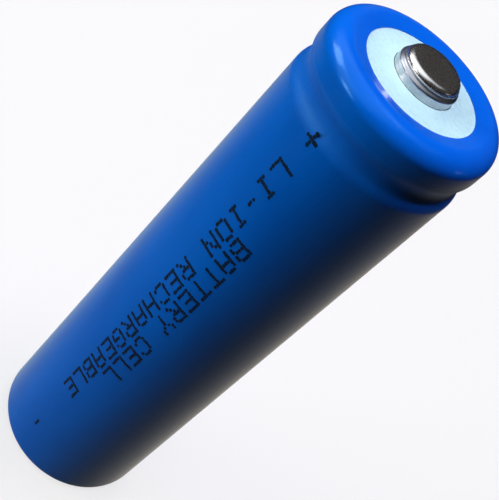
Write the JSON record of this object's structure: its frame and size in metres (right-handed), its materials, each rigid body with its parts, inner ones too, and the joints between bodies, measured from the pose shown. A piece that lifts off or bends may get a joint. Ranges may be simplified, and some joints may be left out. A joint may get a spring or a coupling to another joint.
{
  "type": "cylindrical battery cell",
  "caption": "Wrapped cylindrical lithium-ion cell with a raised button terminal, beaded neck and crimped header over a wound electrode roll.",
  "frame": {"origin": "centre of the negative end, on the plane the wrapped cell stands on", "axes": "+Z along the cell's axis, towards the positive button; +X points to the side of the roll that carries the negative tab"},
  "size_m": [0.0184, 0.0184, 0.0668],
  "materials": {
    "pvc_sleeve": "glossy blue shrink film",
    "white_film": "glossy white insulating film",
    "button_nickel": "bright nickel plate on pressed steel",
    "can_steel": "nickel-plated drawn steel, satin",
    "gasket_polymer": "translucent moulded polypropylene",
    "cap_steel": "nickel-plated pressed steel",
    "ptc_black": "carbon-filled polymer",
    "nickel_foil": "nickel foil",
    "vent_aluminium": "pressed aluminium, scored",
    "header_plastic": "moulded plastic ring",
    "contact_aluminium": "stamped aluminium",
    "tab_aluminium": "rolled aluminium ribbon",
    "tab_nickel": "rolled nickel ribbon",
    "amber_tape": "amber polyimide tape",
    "green_tape": "green polyester tape",
    "insulator_board": "glass-fibre phenolic sheet",
    "white_insulator": "white polypropylene sheet",
    "pin_steel": "rolled stainless strip",
    "cathode_coat": "lithium metal oxide coating on aluminium foil",
    "anode_coat": "graphite coating on copper foil",
    "separator_film": "porous polyolefin film"
  },
  "bodies": {
    "root": {"sleeve": "pvc_sleeve", "top_washer": "white_film", "button_terminal": "button_nickel", "can": "can_steel", "crimp_gasket": "gasket_polymer", "vent_cap": "cap_steel", "ptc_polymer": "ptc_black", "ptc_lower_foil": "nickel_foil", "ptc_upper_foil": "nickel_foil", "safety_vent_disc": "vent_aluminium", "cid_insulator": "header_plastic", "cid_contact_plate": "contact_aluminium", "positive_tab": "tab_aluminium", "positive_tab_tape": "amber_tape", "upper_insulator": "insulator_board", "center_pin": "pin_steel", "cathode_sheet": "cathode_coat", "inner_separator": "separator_film", "anode_sheet": "anode_coat", "outer_separator": "separator_film", "roll_closing_tape": "green_tape", "negative_tab": "tab_nickel", "negative_tab_tape": "amber_tape", "lower_insulator": "white_insulator"}
  },
  "joints": []
}
